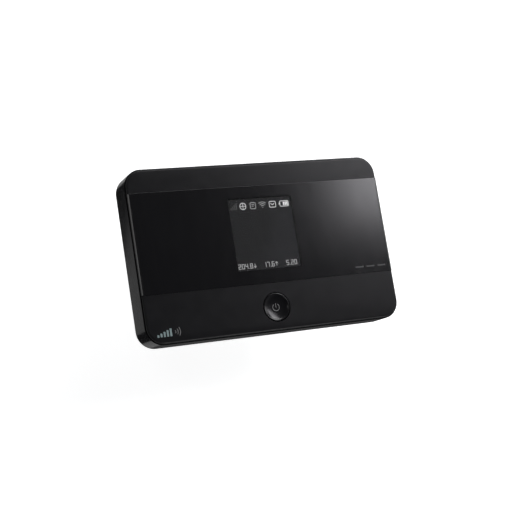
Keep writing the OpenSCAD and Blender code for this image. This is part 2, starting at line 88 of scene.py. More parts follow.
def make_world():
    """White where the camera sees past the floor, an even light for matt surfaces, and a studio that shows
    only in reflections. The side walls mirror its light cards, which lie steeply below, and the face mirrors
    its sky, which darkens upwards. A card is the middle and half width of its stretch of the horizon, in
    degrees from -X, and its brightness. Heights are those of a direction's unit vector."""
    cards = ((-118, 36, 0.36), (-15, 17, 0.19), (100, 30, 0.32), (165, 25, 0.06))
    between_cards = 0.015
    cards_top = -0.65
    world = bpy.data.worlds.new("studio")
    bpy.context.scene.world = world
    world.use_nodes = True
    tree = world.node_tree
    aim = node(tree, "ShaderNodeSeparateXYZ", Vector=node(tree, "ShaderNodeTexCoord").outputs["Generated"])
    height = aim.outputs["Z"]
    away_x = math_node(tree, "MULTIPLY", aim.outputs["X"], -1)
    away_y = math_node(tree, "MULTIPLY", aim.outputs["Y"], -1)
    turn = math_node(tree, "ARCTAN2", away_y, away_x)
    card_light = between_cards
    for middle, half, brightness in cards:
        card = math_node(tree, "COMPARE", turn, math.radians(middle), math.radians(half))
        card_light = math_node(tree, "ADD", card_light, math_node(tree, "MULTIPLY", card, brightness))
    low_sky = ramp(tree, height, start=cards_top, end=0.1, at_start=0.6, at_end=0.3)
    high_sky_drop = ramp(tree, height, start=0.4, end=0.75, at_start=0, at_end=-0.24)
    sky = math_node(tree, "ADD", low_sky, high_sky_drop)
    steep = math_node(tree, "LESS_THAN", height, cards_top)
    studio = node(tree, "ShaderNodeMix", Factor=steep, A=sky, B=card_light).outputs[0]
    reflected = node(tree, "ShaderNodeBackground", Color=(1, 1, 1, 1), Strength=studio)
    even = node(tree, "ShaderNodeBackground", Color=(0.93, 0.97, 1.0, 1), Strength=0.13)
    seen = node(tree, "ShaderNodeBackground", Color=(1, 1, 1, 1), Strength=1.0)
    path = node(tree, "ShaderNodeLightPath")
    shaded = mix_shaders(tree, path.outputs["Is Glossy Ray"], even, reflected)
    shaded = mix_shaders(tree, path.outputs["Is Camera Ray"], shaded, seen)
    tree.links.new(shaded.outputs[0], tree.nodes["World Output"].inputs["Surface"])


def make_floor():
    """Pale floor, low enough for the rear cover to come off above it. It glows a little, so that it stays
    pale round a dark object. It is clear from below, so that the back can be seen, and glossy surfaces do
    not mirror it."""
    bpy.ops.mesh.primitive_plane_add(size=6, location=(0, 0, FLOOR_HEIGHT))
    floor = bpy.context.object
    floor.name = "floor"
    mat, tree, shader = new_material("floor")
    set_inputs(tree, shader, Base_Color=(0.8, 0.8, 0.8, 1), Roughness=0.9, Specular_IOR_Level=0.1)
    set_inputs(tree, shader, Emission_Color=(1, 1, 1, 1), Emission_Strength=0.78)
    clear = tree.nodes.new("ShaderNodeBsdfTransparent")
    from_below = node(tree, "ShaderNodeNewGeometry").outputs["Backfacing"]
    one_sided = mix_shaders(tree, from_below, shader, clear)
    tree.links.new(one_sided.outputs[0], tree.nodes["Material Output"].inputs["Surface"])
    floor.data.materials.append(mat)
    floor.visible_glossy = False


def area_light(name, place, aim, size, radiance, colour=(1, 1, 1)):
    """Soft box at place, facing aim. Its power follows from how bright it looks."""
    data = bpy.data.lights.new(name, "AREA")
    data.shape = "RECTANGLE"
    data.size, data.size_y = size
    data.energy = radiance * math.pi * size[0] * size[1]
    data.color = colour
    light = bpy.data.objects.new(name, data)
    light.location = place
    light.rotation_mode = "QUATERNION"
    light.rotation_quaternion = (Vector(aim) - Vector(place)).to_track_quat("-Z", "Y")
    light.visible_camera = False
    bpy.context.scene.collection.objects.link(light)


def make_lights():
    """The key light, which points straight down, is what the gloss band mirrors at its right end. The front
    and back lights draw a light line along the edges that face them, and the right light does so at the right
    end. The left light, high up, is mirrored by the bevel at the band's left end."""
    right_end = (0.05, 0, 0)
    left_end = (-0.05, 0, 0)
    area_light("key_light", (0.642, 0.398, 0.60), (0.642, 0.398, 0), (0.55, 0.55), 7.4, (1.0, 0.985, 1.03))
    area_light("front_light", (0.42, -0.98, 0.30), ORIGIN, (0.45, 0.4), 6.0)
    area_light("back_light", (0.51, 0.88, 0.54), ORIGIN, (1.0, 0.42), 4.5)
    area_light("right_light", (1.00, 0.16, 0.33), right_end, (0.3, 0.3), 2.5)
    area_light("left_light", (-0.51, 0.175, 0.85), left_end, (0.2, 0.3), 2.0)


# ---------- material helpers ----------

def new_material(name):
    """A new material, its node tree and its Principled shader."""
    mat = bpy.data.materials.new(name)
    mat.use_nodes = True
    return mat, mat.node_tree, mat.node_tree.nodes["Principled BSDF"]


def connect(tree, value, socket):
    """Links another node's output to a socket, or sets a plain value on the socket itself."""
    if isinstance(value, bpy.types.NodeSocket):
        tree.links.new(value, socket)
    else:
        socket.default_value = value


def set_inputs(tree, made, **inputs):
    """Sets a node's inputs, named with _ for a space, to values or to other nodes' outputs."""
    for key, value in inputs.items():
        connect(tree, value, made.inputs[key.replace("_", " ")])


def node(tree, kind, settings=None, **inputs):
    """New shader node with its settings and inputs."""
    made = tree.nodes.new(kind)
    for key, value in (settings or {}).items():
        setattr(made, key, value)
    set_inputs(tree, made, **inputs)
    return made


def math_node(tree, operation, *values):
    """Output of a Math node whose inputs are values or other nodes' outputs."""
    made = tree.nodes.new("ShaderNodeMath")
    made.operation = operation
    for socket, value in zip(made.inputs, values):
        connect(tree, value, socket)
    return made.outputs[0]


def mix_shaders(tree, factor, first, second):
    """Mix Shader node between two shader nodes."""
    mix = tree.nodes.new("ShaderNodeMixShader")
    for source, socket in zip((factor, first.outputs[0], second.outputs[0]), mix.inputs):
        tree.links.new(source, socket)
    return mix


def own_place(tree):
    """The object's own coordinates, in metres."""
    return node(tree, "ShaderNodeTexCoord").outputs["Object"]


def noise(tree, scale, detail=2.0, roughness=0.5, stretch=(1, 1, 1)):
    """Noise over the object's own coordinates. scale is in features per metre."""
    place = own_place(tree)
    if stretch != (1, 1, 1):
        place = node(tree, "ShaderNodeMapping", Vector=place, Scale=stretch).outputs[0]
    made = node(tree, "ShaderNodeTexNoise", Vector=place, Scale=scale, Detail=detail, Roughness=roughness)
    return made.outputs[0]


def ramp(tree, value, start, end, at_start, at_end, kind="LINEAR"):
    """Goes from at_start to at_end as value goes from start to end, and stays level beyond them."""
    made = node(tree, "ShaderNodeMapRange", {"interpolation_type": kind}, Value=value)
    set_inputs(tree, made, From_Min=start, From_Max=end, To_Min=at_start, To_Max=at_end)
    return made.outputs[0]


def spread(tree, value, low, high):
    """Maps noise, which stays near its middle, to between low and high."""
    return ramp(tree, value, 0.3, 0.7, low, high)


def blend_colours(tree, factor, first, second):
    """Goes from the first colour to the second as factor goes from 0 to 1."""
    mix = node(tree, "ShaderNodeMix", {"data_type": "RGBA"})
    factor_socket, first_socket, second_socket = mix.inputs[0], mix.inputs[6], mix.inputs[7]
    tree.links.new(factor, factor_socket)
    first_socket.default_value = (*first, 1)
    second_socket.default_value = (*second, 1)
    return mix.outputs[2]


def scaled(colour, share):
    """The colour with each channel times share."""
    return tuple(channel * share for channel in colour)


def relief(tree, shader, height, depth):
    """Bumps of that depth, in metres, on the shader's surface."""
    bump = node(tree, "ShaderNodeBump", Strength=1.0, Distance=depth, Height=height)
    tree.links.new(bump.outputs[0], shader.inputs["Normal"])


# ---------- materials: scales are in features per metre, depths in metres ----------

def moulded(name, colour, rough, grain=4200, depth=6e-6, shine=0.5, variation=0.1):
    """Moulded plastic: a fine spark-eroded grain with slightly uneven colour and shine."""
    mat, tree, shader = new_material(name)
    clouds = spread(tree, noise(tree, 90, detail=3), 0, 1)
    tint = blend_colours(tree, clouds, scaled(colour, 1 - variation), scaled(colour, 1 + variation))
    uneven = spread(tree, noise(tree, 240), rough - 0.03, rough + 0.03)
    set_inputs(tree, shader, Base_Color=tint, Roughness=uneven, Specular_IOR_Level=shine)
    relief(tree, shader, noise(tree, grain), depth)
    return mat


def metal(name, colour, rough, stretch=(1, 1, 1)):
    """Stamped metal with a fine drawn grain."""
    mat, tree, shader = new_material(name)
    streaks = noise(tree, 2500, detail=3, stretch=stretch)
    tint = blend_colours(tree, spread(tree, streaks, 0, 1), scaled(colour, 0.85), colour)
    uneven = spread(tree, streaks, rough - 0.06, rough + 0.08)
    set_inputs(tree, shader, Base_Color=tint, Roughness=uneven, Metallic=1)
    relief(tree, shader, streaks, 4e-6)
    return mat


def gloss(name, colour):
    """Polished plastic with the faintest wiping marks."""
    mat, tree, shader = new_material(name)
    clouds = spread(tree, noise(tree, 60, detail=3), 0, 1)
    tint = blend_colours(tree, clouds, scaled(colour, 0.9), colour)
    marks = noise(tree, 350, detail=4, stretch=(1, 0.25, 1))
    set_inputs(tree, shader, Base_Color=tint, Roughness=spread(tree, marks, 0.16, 0.18))
    return mat


def lit_screen_with_painted_reflection(name, low, high):
    """The lit screen: a dark grey glow with a painted reflection, which makes it slightly paler towards its
    lower right.
    """
    mat, tree, shader = new_material(name)
    place = node(tree, "ShaderNodeSeparateXYZ", Vector=own_place(tree))
    across = math_node(tree, "MULTIPLY", place.outputs["X"], 0.9)
    painted_reflection_diagonal = math_node(tree, "ADD", across, math_node(tree, "MULTIPLY", place.outputs["Y"], -0.45))
    wobble = math_node(tree, "MULTIPLY", noise(tree, 120), 0.002)
    # Painted reflection: past this soft diagonal edge the glow turns paler, as if the screen mirrored the
    # edge of a lamp.
    share = ramp(tree, math_node(tree, "ADD", painted_reflection_diagonal, wobble), -0.003, 0.006, 0, 1, "SMOOTHSTEP")
    glow = blend_colours(tree, share, low, high)
    set_inputs(tree, shader, Emission_Color=glow, Emission_Strength=1, Base_Color=(0.004, 0.004, 0.004, 1))
    set_inputs(tree, shader, Specular_IOR_Level=0.05, Roughness=spread(tree, noise(tree, 300), 0.3, 0.4))
    return mat


def lit_icon(name, brightness):
    """Part of the picture that glows, slightly uneven as pixels are."""
    mat, tree, shader = new_material(name)
    pixels = spread(tree, noise(tree, 2500, detail=1), 0, 1)
    full = (brightness, brightness, brightness)
    glow = blend_colours(tree, pixels, scaled(full, 0.85), full)
    set_inputs(tree, shader, Emission_Color=glow, Emission_Strength=1, Base_Color=(0.02, 0.02, 0.02, 1))
    return mat


def clear_plastic(name):
    """Polished acrylic."""
    mat, tree, shader = new_material(name)
    tint = blend_colours(tree, noise(tree, 60), (0.94, 0.95, 0.96), (1, 1, 1))
    set_inputs(tree, shader, Transmission_Weight=1, IOR=1.49, Roughness=0.06, Base_Color=tint)
    return mat


def ink(name, colour):
    """Screen-printed ink, a little thin in places."""
    mat, tree, shader = new_material(name)
    cover = spread(tree, noise(tree, 1500, detail=3), 0, 1)
    tint = blend_colours(tree, cover, scaled(colour, 0.8), colour)
    set_inputs(tree, shader, Base_Color=tint, Roughness=spread(tree, noise(tree, 900), 0.4, 0.5))
    return mat


def laminate(name):
    """Circuit board: dark solder mask with the copper tracks showing faintly through it."""
    mat, tree, shader = new_material(name)
    bricks = node(tree, "ShaderNodeTexBrick", Vector=own_place(tree), Scale=420, Mortar_Size=0.06, Bias=0)
    set_inputs(tree, bricks, Color1=(0, 0, 0, 1), Color2=(0.35, 0.35, 0.35, 1), Mortar=(1, 1, 1, 1))
    clouds = spread(tree, noise(tree, 160, detail=3), 0, 1)
    tracks = math_node(tree, "MULTIPLY", bricks.outputs[0], clouds)
    tint = blend_colours(tree, tracks, (0.004, 0.035, 0.022), (0.02, 0.11, 0.06))
    set_inputs(tree, shader, Base_Color=tint, Roughness=spread(tree, noise(tree, 400), 0.28, 0.36))
    relief(tree, shader, tracks, 1.5e-5)
    return mat


def foam(name, colour):
    """Open-celled foam."""
    mat, tree, shader = new_material(name)
    cells = node(tree, "ShaderNodeTexVoronoi", Vector=own_place(tree), Scale=3500).outputs["Distance"]
    tint = blend_colours(tree, cells, scaled(colour, 0.5), colour)
    set_inputs(tree, shader, Base_Color=tint, Roughness=spread(tree, noise(tree, 900), 0.85, 0.95))
    relief(tree, shader, cells, 8e-5)
    return mat


# The finish of each of the record's material slots
MATERIALS = {
    "frame_plastic": moulded("frame_plastic", (0.006, 0.006, 0.007), 0.15, depth=5e-7),
    "rear_plastic": moulded("rear_plastic", (0.008, 0.008, 0.009), 0.42, grain=2600, depth=1.2e-5),
    "face_plastic": moulded("face_plastic", (0.009, 0.009, 0.010), 0.35, depth=2e-6, shine=0.17),
    "panel_gloss": gloss("panel_gloss", (0.004, 0.004, 0.005)),
    "button_plastic": moulded("button_plastic", (0.005, 0.005, 0.006), 0.2, depth=1e-6, shine=0.3),
    "inner_plastic": moulded("inner_plastic", (0.016, 0.016, 0.018), 0.5),
    "connector_plastic": moulded("connector_plastic", (0.62, 0.58, 0.48), 0.4),
    "button_nib": moulded("button_nib", (0.75, 0.72, 0.65), 0.45),
    "adhesive_tape": moulded("adhesive_tape", (0.02, 0.02, 0.02), 0.6, grain=1500),
    "lcd_glass": moulded("lcd_glass", (0.004, 0.004, 0.005), 0.12, depth=0),
    "backlight_white": moulded("backlight_white", (0.8, 0.8, 0.79), 0.4, grain=1200, depth=2e-6),
    "foam": foam("foam", (0.03, 0.03, 0.03)),
    "flex_film": moulded("flex_film", (0.35, 0.17, 0.04), 0.28, grain=900, depth=3e-6, variation=0.2),
    "board_laminate": laminate("board_laminate"),
    "chip_resin": moulded("chip_resin", (0.018, 0.018, 0.02), 0.55, grain=6000),
    "ceramic": moulded("ceramic", (0.35, 0.25, 0.16), 0.45, variation=0.2),
    "thermal_rubber": moulded("thermal_rubber", (0.22, 0.3, 0.42), 0.75, grain=2000, depth=2e-5),
    "port_steel": metal("port_steel", (0.6, 0.6, 0.61), 0.3),
    "shield_steel": metal("shield_steel", (0.56, 0.57, 0.58), 0.34, (1, 8, 1)),
    "switch_steel": metal("switch_steel", (0.55, 0.55, 0.53), 0.36),
    "screw_steel": metal("screw_steel", (0.3, 0.3, 0.31), 0.35),
    "contact_gold": metal("contact_gold", (0.78, 0.56, 0.22), 0.28),
    "antenna_copper": metal("antenna_copper", (0.62, 0.34, 0.18), 0.33),
    "card_white": moulded("card_white", (0.72, 0.73, 0.74), 0.35, depth=2e-6, variation=0.04),
    "card_black": moulded("card_black", (0.012, 0.012, 0.014), 0.4),
    "battery_wrap": moulded("battery_wrap", (0.022, 0.023, 0.026), 0.38, grain=1800, depth=4e-6),
    "label_film": moulded("label_film", (0.55, 0.56, 0.55), 0.5, grain=3000, depth=3e-6, variation=0.04),
}
# Finishes of pieces that differ from their slot's: the window, the lit screen with its painted reflection,
# and the prints
EXTRA_MATERIALS = {
    "clear": clear_plastic("clear_acrylic"),
    # The lit screen's glow; its paler second colour is a painted reflection towards the lower right.
    "lit_screen_with_painted_reflection": lit_screen_with_painted_reflection("screen_glow_painted_reflection", (0.016, 0.016, 0.017), (0.020, 0.020, 0.022)),
    "icon_bright": lit_icon("icon_bright", 0.85),
    "icon_medium": lit_icon("icon_medium", 0.4),
    "icon_dim": lit_icon("icon_dim", 0.1),
    "ink_teal": ink("ink_teal", (0.25, 0.33, 0.33)),
    "ink_grey": ink("ink_grey", (0.17, 0.17, 0.17)),
    "ink_faint": ink("ink_faint", (0.03, 0.03, 0.031)),
    "ink_black": ink("ink_black", (0.03, 0.03, 0.035)),
    "ink_white": ink("ink_white", (0.6, 0.6, 0.6)),
}


# ---------- shape helpers ----------

def soften(piece, width, sharp=30, segments=2):
    """Rounds every edge sharper than that many degrees, and shades the rest smooth."""
    piece.data.shade_smooth()
    piece.data.set_sharp_from_angle(angle=math.radians(sharp))
    bevel = piece.modifiers.new("soft_edges", "BEVEL")
    bevel.width = width * MM
    bevel.segments = segments
    bevel.limit_method = "ANGLE"
    bevel.angle_limit = math.radians(sharp)
    bevel.harden_normals = True
    bevel.miter_outer = "MITER_ARC"


def add_piece(name, mesh, body, slot, material=None):
    """New object that rides on a body, in its slot's finish or in one of EXTRA_MATERIALS."""
    piece = bpy.data.objects.new(name, mesh)
    bpy.context.scene.collection.objects.link(piece)
    piece.data.materials.append(EXTRA_MATERIALS[material] if material else MATERIALS[slot])
    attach(piece, body)
    return piece


def mesh_from(name, bm):
    """Mesh in metres from a bmesh built in millimetres."""
    bmesh.ops.recalc_face_normals(bm, faces=bm.faces)
    bmesh.ops.scale(bm, vec=(MM, MM, MM), verts=bm.verts)
    mesh = bpy.data.meshes.new(name)
    bm.to_mesh(mesh)
    bm.free()
    return mesh


def clean_copy(node_name):
    """A CAD node's mesh with its triangles joined into whole faces."""
    weld = 0.002 * MM
    nearly_flat = math.radians(0.4)
    bm = bmesh.new()
    bm.from_mesh(NODES[node_name].data)
    bmesh.ops.remove_doubles(bm, verts=bm.verts, dist=weld)
    bmesh.ops.dissolve_limit(bm, angle_limit=nearly_flat, verts=bm.verts, edges=bm.edges)
    mesh = bpy.data.meshes.new(node_name)
    bm.to_mesh(mesh)
    bm.free()
    return mesh


def refine(node_name, width):
    """Adds a copy of a CAD node's shape with its edges rounded, which stands for the node."""
    piece = add_piece(node_name + "_fine", clean_copy(node_name), BODY_OF[node_name], SLOTS[node_name])
    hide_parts(node_name)
    soften(piece, width)


def cut(piece, low, high, keep="DIFFERENCE"):
    """Takes the box from low to high out of the piece, or with INTERSECT keeps only what is in it. All of the
    piece's modifiers are applied by this, and then dropped."""
    bm = bmesh.new()
    add_block(bm, low, high)
    cutter = bpy.data.objects.new("cutter", mesh_from("cutter", bm))
    bpy.context.scene.collection.objects.link(cutter)
    boolean = piece.modifiers.new("cut", "BOOLEAN")
    boolean.operation = keep
    boolean.solver = "EXACT"
    boolean.object = cutter
    depsgraph = bpy.context.evaluated_depsgraph_get()
    result = bpy.data.meshes.new_from_object(piece.evaluated_get(depsgraph))
    piece.modifiers.clear()
    piece.data = result
    bpy.data.objects.remove(cutter)


def add_block(bm, low, high):
    """Box from its lowest to its highest corner."""
    made = bmesh.ops.create_cube(bm, size=1)["verts"]
    low, high = Vector(low), Vector(high)
    bmesh.ops.scale(bm, vec=high - low, verts=made)
    bmesh.ops.translate(bm, vec=(low + high) / 2, verts=made)


def add_prism(bm, outline, low, high):
    """Solid with the flat outline of (x, y) points, from low to high."""
    base = bm.faces.new([bm.verts.new((x, y, low)) for x, y in outline])
    top = bmesh.ops.extrude_face_region(bm, geom=[base])["geom"]
    lifted = [item for item in top if isinstance(item, bmesh.types.BMVert)]
    bmesh.ops.translate(bm, vec=(0, 0, high - low), verts=lifted)


def add_ribbon(bm, path, width, surface, rise=0.02, closed=False):
    """Raised line of even width along (x, y) points. surface gives the height of what it is printed on, and
    the line reaches from sink below that to rise above it. miter_limit keeps sharp turns from growing
    spikes."""
    sink = 0.02
    miter_limit = 0.5
    points = [Vector(point) for point in path]
    last = len(points) - 1
    rings = []
    for index, point in enumerate(points):
        before = points[index - 1] if closed or index > 0 else None
        after = points[(index + 1) % len(points)] if closed or index < last else None
        turns = [(point - before).normalized()] if before else []
        turns += [(after - point).normalized()] if after else []
        along = sum(turns, Vector((0, 0))).normalized()
        side = Vector((-along.y, along.x)) * width / 2 / max(miter_limit, along.dot(turns[0]))
        ring = []
        for edge, lift in ((1, rise), (-1, rise), (-1, -sink), (1, -sink)):
            x, y = point + side * edge
            ring.append(bm.verts.new((x, y, surface(x, y) + lift)))
        rings.append(ring)
    for index in range(len(points) if closed else last):
        first, second = rings[index], rings[(index + 1) % len(points)]
        for corner in range(4):
            near, far = corner, (corner + 1) % 4
            bm.faces.new((first[near], first[far], second[far], second[near]))
    if not closed:
        bm.faces.new(rings[0])
        bm.faces.new(rings[last])


def arc(centre, radius, start, end, steps):
    """Points along an arc, with its angles in degrees anticlockwise from +X."""
    angles = [math.radians(start + (end - start) * step / steps) for step in range(steps + 1)]
    return [(centre[0] + radius * math.cos(angle), centre[1] + radius * math.sin(angle)) for angle in angles]


def rounded_box(centre, width, height, radius):
    """Outline of a rectangle with round corners."""
    points = []
    for corner, (side_x, side_y) in enumerate(((1, 1), (-1, 1), (-1, -1), (1, -1))):
        middle = (centre[0] + side_x * (width / 2 - radius), centre[1] + side_y * (height / 2 - radius))
        points += arc(middle, radius, 90 * corner, 90 * corner + 90, 4)
    return points


def flat(height):
    """A level surface for add_ribbon."""
    return lambda x, y: height


# The strokes of each seven-segment figure, and each stroke's ends as shares of the figure's width and height
SEGMENTS = {
    "0": "abcdef", "1": "bc", "2": "abged", "3": "abgcd", "4": "fgbc",
    "5": "afgcd", "6": "afgedc", "7": "abc", "8": "abcdefg", "9": "gfabcd",
}
SEGMENT_ENDS = {
    "a": ((0, 1), (1, 1)), "b": ((1, 1), (1, 0.5)), "c": ((1, 0.5), (1, 0)), "d": ((0, 0), (1, 0)),
    "e": ((0, 0), (0, 0.5)), "f": ((0, 0.5), (0, 1)), "g": ((0, 0.5), (1, 0.5)),
}


def add_numeral(bm, text, x, y, height, stroke, surface, mirrored=False):
    """Seven-segment figures from x rightwards, or leftwards for a face that is read from below. Returns where
    the next one would start."""
    width = height * 0.5
    gap = stroke * 2.2
    cap_share = 0.4
    way = -1 if mirrored else 1
    for figure in text:
        if figure == ".":
            add_ribbon(bm, [(x, y), (x + way * stroke, y)], stroke, surface)
            x += way * gap
            continue
        for name in SEGMENTS[figure]:
            shares = SEGMENT_ENDS[name]
            start, end = [Vector((x + way * width * across, y + height * up)) for across, up in shares]
            cap = (end - start).normalized() * stroke * cap_share
            add_ribbon(bm, [start - cap, end + cap], stroke, surface)
        x += way * (width + gap)
    return x


def print_piece(name, bm, body, slot, material=None):
    """A printed or lit mark made of ribbons and prisms."""
    add_piece(name, mesh_from(name, bm), body, slot, material)


# ---------- front panel and screen ----------

SCREEN_MIDDLE = (0.0, 5.0)
SCREEN_SIZE = (26.4, 27.8)
WINDOW_MARGIN = 0.25


def build_panel():
    """Gloss band with the clear window left in its black back print. The window runs a little way into the
    band, and a hair below its surface, so that no gap between the two catches the light."""
    low, high = box_mm("front_panel")
    half = Vector(SCREEN_SIZE) / 2 + Vector((WINDOW_MARGIN, WINDOW_MARGIN))
    left, bottom = Vector(SCREEN_MIDDLE) - half
    right, top = Vector(SCREEN_MIDDLE) + half
    past, overlap, hair = 1, 0.05, 0.002
    band = add_piece("front_panel_band", clean_copy("front_panel"), "housing", "panel_gloss")
    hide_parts("front_panel")
    soften(band, 0.28)
    weigh_band_edges(band, low.y)
    cut(band, (left, bottom, low.z - past), (right, top, high.z + past))
    window = add_piece("front_panel_window", clean_copy("front_panel"), "housing", "panel_gloss", "clear")
    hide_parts("front_panel")
    window_low = (left - overlap, bottom - overlap, low.z - past)
    window_high = (right + overlap, top + overlap, high.z - hair)
    cut(window, window_low, window_high, "INTERSECT")


def weigh_band_edges(band, foot):
    """Rounds the band's ends in full, its upper long edges less, and the lower ones, at Y foot, hardly at
    all, so that a light line shows along its top but not along its foot."""
    end_share, upper_share, foot_share = 1, 0.7, 0.1
    shares = band.data.attributes.new("bevel_weight_edge", "FLOAT", "EDGE").data
    for edge, share in zip(band.data.edges, shares):
        start, end = [band.data.vertices[index].co / MM for index in edge.vertices]
        lengthwise = abs(start.x - end.x) > 1
        at_foot = max(start.y, end.y) < foot + 0.01
        long_share = foot_share if at_foot else upper_share
        share.value = long_share if lengthwise else end_share
    band.modifiers["soft_edges"].limit_method = "WEIGHT"


def build_screen():
    """Display glass with its lit screen, which carries a painted reflection, a row of status icons and a row
    of plain figures.
    """
    refine("display_lcd", 0.08)
    glass = box_mm("display_lcd")[1].z
    layer = 0.02
    half_w, half_h = SCREEN_SIZE[0] / 2, SCREEN_SIZE[1] / 2
    x, y = SCREEN_MIDDLE
    corners = [(x + side * half_w, y + end * half_h) for side, end in ((-1, -1), (1, -1), (1, 1), (-1, 1))]
    bm = bmesh.new()
    add_prism(bm, corners, glass, glass + layer)
    # The lit screen, whose glow carries a painted reflection.
    print_piece("screen_glow_painted_reflection", bm, "housing", "lcd_glass", "lit_screen_with_painted_reflection")
    lit = flat(glass + 2 * layer)
    build_icons(lit)
    build_figures(lit)


ICON_LINE = 0.22


def build_icons(surface):
    """Row of status icons, as three pieces that glow dimly, brightly and in between."""
    row = SCREEN_MIDDLE[1] + 11.1
    signal_x, globe_x, page_x, waves_x, letter_x, battery_x = -12.1, -7.1, -2.9, 1.1, 5.4, 10.4
    dim = bmesh.new()
    add_signal_icon(dim, signal_x, row, surface)
    print_piece("icon_signal", dim, "housing", "lcd_glass", "icon_dim")

    bright = bmesh.new()
    add_globe_icon(bright, globe_x, row, surface)
    add_letter_icon(bright, letter_x, row, surface)
    add_battery_icon(bright, battery_x, row, surface)
    print_piece("icons_bright", bright, "housing", "lcd_glass", "icon_bright")

    medium = bmesh.new()
    add_page_icon(medium, page_x, row, surface)
    add_waves_icon(medium, waves_x, row - 1.1, surface)
    print_piece("icons_medium", medium, "housing", "lcd_glass", "icon_medium")


def add_signal_icon(bm, x, y, surface):
    """Four rising bars, the first at x."""
    apart, growth = 0.75, 0.55
    for step in range(4):
        at = x + step * apart
        add_ribbon(bm, [(at, y - 1.2), (at, y - 0.4 + step * growth)], ICON_LINE, surface)


def add_globe_icon(bm, x, y, surface):
    """Circle with an equator and a meridian."""
    radius, reach = 1.25, 1.2
    thin_line = ICON_LINE * 0.7
    add_ribbon(bm, arc((x, y), radius, 0, 360, 28)[:-1], ICON_LINE, surface, closed=True)
    add_ribbon(bm, [(x - reach, y), (x + reach, y)], thin_line, surface)
    add_ribbon(bm, [(x, y - reach), (x, y + reach)], thin_line, surface)


def add_letter_icon(bm, x, y, surface):
    """Envelope with its flap."""
    width, height, radius = 2.7, 2.3, 0.5
    reach, corner, tip = 0.75, y + 0.4, y - 0.2
    add_ribbon(bm, rounded_box((x, y), width, height, radius), ICON_LINE, surface, closed=True)
    add_ribbon(bm, [(x - reach, corner), (x, tip), (x + reach, corner)], ICON_LINE, surface)


def add_battery_icon(bm, x, y, surface):
    """Cell with its nub at the left and three bars of charge."""
    width, height, radius = 3.6, 2.1, 0.4
    nub, nub_reach = x - 2.1, 0.4
    first_bar, apart, bar_reach, bar_width = x - 0.2, 0.72, 0.7, 0.55
    add_ribbon(bm, rounded_box((x, y), width, height, radius), ICON_LINE, surface, closed=True)
    add_ribbon(bm, [(nub, y - nub_reach), (nub, y + nub_reach)], ICON_LINE, surface)
    for step in range(3):
        at = first_bar + step * apart
        add_ribbon(bm, [(at, y - bar_reach), (at, y + bar_reach)], bar_width, surface)


def add_page_icon(bm, x, y, surface):
    """Page with a long and a short line on it."""
    width, height, radius = 2.2, 2.4, 0.4
    start = x - 0.55
    add_ribbon(bm, rounded_box((x, y), width, height, radius), ICON_LINE, surface, closed=True)
    for end, line_y in ((x + 0.55, y + 0.45), (x + 0.3, y - 0.2)):
        add_ribbon(bm, [(start, line_y), (end, line_y)], ICON_LINE, surface)


def add_waves_icon(bm, x, y, surface):
    """Three arches round (x, y), above a dot."""
    dot_y, dot_reach = y + 0.1, 0.15
    for radius in (0.9, 1.6, 2.3):
        add_ribbon(bm, arc((x, y), radius, 50, 130, 8), ICON_LINE, surface)
    add_ribbon(bm, [(x - dot_reach, dot_y), (x + dot_reach, dot_y)], ICON_LINE, surface)


def build_figures(surface):
    """Three numbers along the foot of the screen, the first two with an arrow that points down or up."""
    height, stroke, arrow_gap = 1.7, 0.26, 0.5
    down, up = -1, 1
    foot = SCREEN_MIDDLE[1] - 13.0
    figures = bmesh.new()
    for text, x, way in (("204.8", -12.7, down), ("17.6", -2.2, up), ("5.20", 7.4, None)):
        end = add_numeral(figures, text, x, foot, height, stroke, surface)
        if way:
            add_arrow(figures, end + arrow_gap, foot + height / 2, way, surface)
    print_piece("screen_figures", figures, "housing", "lcd_glass", "icon_medium")


def add_arrow(bm, x, y, way, surface):
    """Small arrow that points up (way 1) or down (way -1)."""
    line, head_width = 0.24, 0.5
    reach, head_y = 0.8 * way, y + 0.2 * way
    add_ribbon(bm, [(x, y - reach), (x, y + reach)], line, surface)
    add_ribbon(bm, [(x - head_width, head_y), (x, y + reach), (x + head_width, head_y)], line, surface)


# ---------- printed marks on the face ----------

def build_marks():
    """Generic marks in place of lettering: rising bars and radio waves at the lower left of the face, and
    dashes at the right of the band."""
    face = flat(box_mm("front_cover")[1].z)
    band = flat(box_mm("front_panel")[1].z)
    ink_rise, dash_rise = 0.01, 0.003

    bars = bmesh.new()
    first_bar, bar_step, bar_width = -48.6, 1.25, 0.75
    foot, lowest_top, growth = -30.1, -29.2, 0.5
    for step in range(5):
        x = first_bar + step * bar_step
        add_ribbon(bars, [(x, foot), (x, lowest_top + step * growth)], bar_width, face, ink_rise)
    print_piece("mark_bars", bars, "housing", "label_film", "ink_teal")

    waves = bmesh.new()
    waves_centre, waves_line = (-42.6, -28.6), 0.28
    for radius in (0.9, 1.8, 2.7):
        add_ribbon(waves, arc(waves_centre, radius, -35, 35, 8), waves_line, face, ink_rise)
    print_piece("mark_waves", waves, "housing", "label_film", "ink_grey")

    dashes = bmesh.new()
    first_dash, dash_step, dash_length, dash_width, dash_y = 36.4, 5.0, 3.6, 0.55, -11.8
    for step in range(3):
        x = first_dash + step * dash_step
        add_ribbon(dashes, [(x, dash_y), (x + dash_length, dash_y)], dash_width, band, dash_rise)
    print_piece("mark_dashes", dashes, "housing", "label_film", "ink_faint")


# ---------- power button ----------

